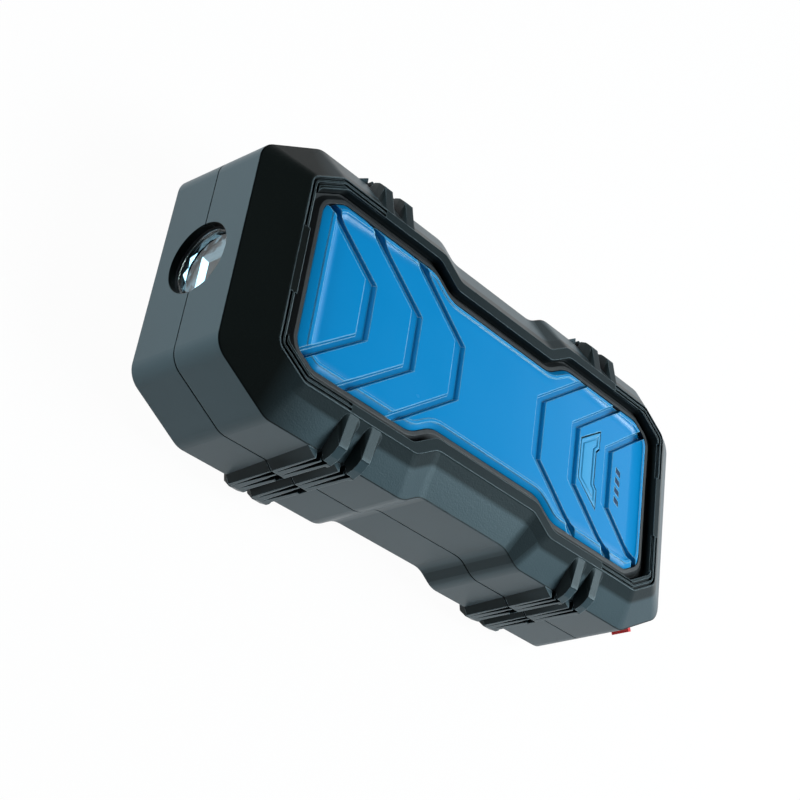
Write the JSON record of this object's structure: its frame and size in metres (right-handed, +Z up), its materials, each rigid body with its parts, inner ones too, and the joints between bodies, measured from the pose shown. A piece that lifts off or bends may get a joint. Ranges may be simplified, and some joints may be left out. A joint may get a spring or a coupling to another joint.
{
  "type": "jump starter pack",
  "caption": "Waisted black car jump starter pack with a blue top panel, power button, charge lights, grip ribs, end lamp and covered sockets.",
  "frame": {"origin": "centre of the flat underside that the pack rests on", "axes": "+X from the lamp end to the socket end, +Y across the pack, +Z up through the blue top panel"},
  "size_m": [0.2049, 0.0936, 0.05],
  "materials": {
    "case_plastic": "finely grained black plastic",
    "trim_plastic": "grained dark grey plastic",
    "panel_plastic": "satin blue plastic",
    "button_plastic": "satin light blue plastic",
    "dome_rubber": "soft silicone",
    "dark_plastic": "moulded black plastic",
    "light_guide": "smoked clear plastic, unlit",
    "light_chip": "moulded light chip",
    "board": "green lacquered board",
    "ferrite": "sintered dark grey core",
    "can_metal": "drawn can",
    "screw_steel": "zinc plated",
    "foam": "closed-cell foam",
    "tab_metal": "nickel plated",
    "copper": "bare copper strip",
    "lens": "clear moulded lens",
    "reflector": "metallised cone",
    "lamp_plate": "white lacquered aluminium plate",
    "socket_plastic": "moulded dark blue plastic",
    "contact_brass": "gold-flashed brass",
    "red_rubber": "soft red rubber",
    "black_rubber": "soft black rubber",
    "pouch_foil": "laminated pouch foil"
  },
  "bodies": {
    "pack": {"upper_casing": "case_plastic", "lower_casing": "case_plastic", "bezel_ring": "trim_plastic", "top_panel": "panel_plastic", "button_dome": "dome_rubber", "button_switch": "dark_plastic", "light_guides": "light_guide", "indicator_lights": "light_chip", "main_board": "board", "controller_chip": "dark_plastic", "inductor": "ferrite", "capacitors": "can_metal", "power_board": "board", "power_transistors": "dark_plastic", "board_screws": "screw_steel", "cell_spacers": "foam", "foam_pads": "foam", "cell_links": "tab_metal", "negative_busbar": "copper", "positive_busbar": "copper", "lamp_tube": "dark_plastic", "lamp_lens": "lens", "lamp_reflector": "reflector", "lamp_chip": "light_chip", "lamp_board": "lamp_plate", "jump_socket": "socket_plastic", "jump_contacts": "contact_brass", "jump_cover_strap": "red_rubber", "usb_a_socket": "tab_metal", "usb_c_socket": "tab_metal", "usb_tongues": "dark_plastic", "port_board": "board", "usb_cover_strap": "black_rubber", "case_screws": "screw_steel", "battery_cell_1": "pouch_foil", "battery_cell_2": "pouch_foil", "battery_cell_3": "pouch_foil", "battery_cell_4": "pouch_foil"},
    "button": {"power_button": "button_plastic"},
    "jump_cover": {"jump_port_cover": "red_rubber"},
    "usb_cover": {"usb_port_cover": "black_rubber"}
  },
  "joints": [
    {"name": "button_press", "type": "slide", "parent": "pack", "child": "button", "axis": [0, 0, -1], "range_m": [0, 0.0008], "stiffness_N_per_m": 1500, "springref_m": -0.001, "deforming": ["button_dome"]},
    {"name": "jump_cover_swing", "type": "hinge", "parent": "pack", "child": "jump_cover", "pos_m": [0.09935, -0.0039, 0.025], "axis": [0, 0, 1], "range_deg": [0, 100]},
    {"name": "usb_cover_swing", "type": "hinge", "parent": "pack", "child": "usb_cover", "pos_m": [0.09935, 0.0231, 0.025], "axis": [0, 0, 1], "range_deg": [0, 100]}
  ]
}
